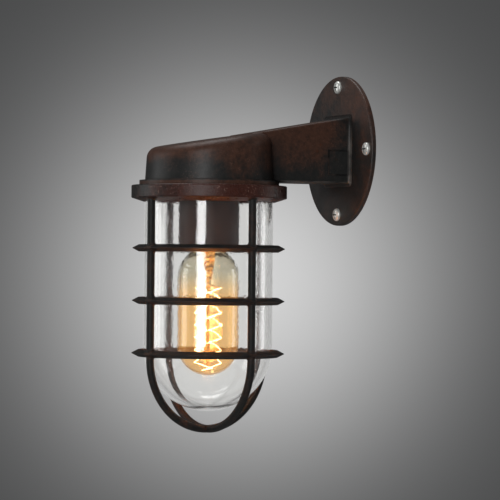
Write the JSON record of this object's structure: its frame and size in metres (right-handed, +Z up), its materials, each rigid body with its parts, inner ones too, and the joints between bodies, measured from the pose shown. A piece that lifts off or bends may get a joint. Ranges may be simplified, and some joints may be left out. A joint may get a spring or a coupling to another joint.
{
  "type": "caged wall light",
  "caption": "Wall light with a round wall plate, sloped hollow arm and hood, screw-on guard cage, clear glass jar and a tubular filament bulb.",
  "frame": {"origin": "centre of the wall plate's back face, on the wall", "axes": "+Y into the wall, the light reaches towards -Y, +Z up, +X to the right when facing the wall"},
  "size_m": [0.1142, 0.1681, 0.2653],
  "materials": {
    "patina_casting": "dark antique bronze patina, rubbed through to copper brown on the edges",
    "bright_steel": "zinc-plated steel",
    "jar_glass": "clear thick pressed glass",
    "seal_rubber": "black seal rubber",
    "holder_bronze": "brown bronze, satin",
    "ceramic": "white ceramic",
    "brass": "brass",
    "bulb_brass": "brass",
    "bulb_black": "black vitrite",
    "bulb_glass": "amber tinted clear glass",
    "filament_glow": "glowing filament",
    "filament_metal": "bright wire",
    "block_plastic": "white plastic",
    "wire_live": "brown insulation",
    "wire_neutral": "blue insulation",
    "wire_earth": "green and yellow insulation"
  },
  "bodies": {
    "housing": {"wall_plate": "patina_casting", "wall_screws": "bright_steel", "hood_and_arm": "patina_casting", "arm_screws": "bright_steel", "holder_strap": "bright_steel", "strap_screws": "bright_steel", "holder_nipple": "brass", "holder_locknut": "brass", "holder_cap": "holder_bronze", "holder_skirt": "holder_bronze", "holder_insert": "ceramic", "holder_rivets": "brass", "screw_shell": "brass", "centre_contact": "brass", "holder_terminals": "brass", "holder_terminal_screws": "brass", "terminal_block": "block_plastic", "terminal_sleeves": "brass", "terminal_block_screws": "brass", "terminal_block_fixing": "bright_steel", "earth_tag": "brass", "earth_screw": "bright_steel", "earth_wire": "wire_earth", "live_wire": "wire_live", "neutral_wire": "wire_neutral"},
    "gasket": {"glass_gasket": "seal_rubber"},
    "glass": {"glass_jar": "jar_glass", "glass_seat_ring": "seal_rubber"},
    "guard": {"guard_collar": "patina_casting", "guard_ring_upper": "patina_casting", "guard_ring_middle": "patina_casting", "guard_ring_lower": "patina_casting", "guard_hoop_under": "patina_casting", "guard_hoop_over": "patina_casting"},
    "bulb_end": {"bulb_contact": "bulb_brass"},
    "bulb": {"bulb_cap": "bulb_brass", "bulb_insulator": "bulb_black", "bulb_envelope": "bulb_glass", "bulb_stem": "bulb_glass", "bulb_leads": "filament_metal", "filament": "filament_glow", "filament_supports": "filament_metal"}
  },
  "joints": [
    {"name": "guard_lower", "type": "slide", "parent": "housing", "child": "gasket", "axis": [0, 0, -1], "range_m": [0, 0.165]},
    {"name": "guard_drop", "type": "slide", "parent": "gasket", "child": "glass", "axis": [0, 0, -1], "range_m": [0, 0.0063]},
    {"name": "guard_turn", "type": "hinge", "parent": "glass", "child": "guard", "pos_m": [0, -0.1085, 0], "axis": [0, 0, -1], "range_deg": [0, 900]},
    {"name": "bulb_drop", "type": "slide", "parent": "housing", "child": "bulb_end", "axis": [0, 0, -1], "range_m": [0, 0.0182]},
    {"name": "bulb_turn", "type": "hinge", "parent": "bulb_end", "child": "bulb", "pos_m": [0, -0.1085, 0], "axis": [0, 0, -1], "range_deg": [0, 1800]}
  ],
  "couplings": [
    {"joint": "guard_drop", "follows": "guard_turn", "m_per_rad": 0.00039789},
    {"joint": "bulb_drop", "follows": "bulb_turn", "m_per_rad": 0.00057757}
  ]
}
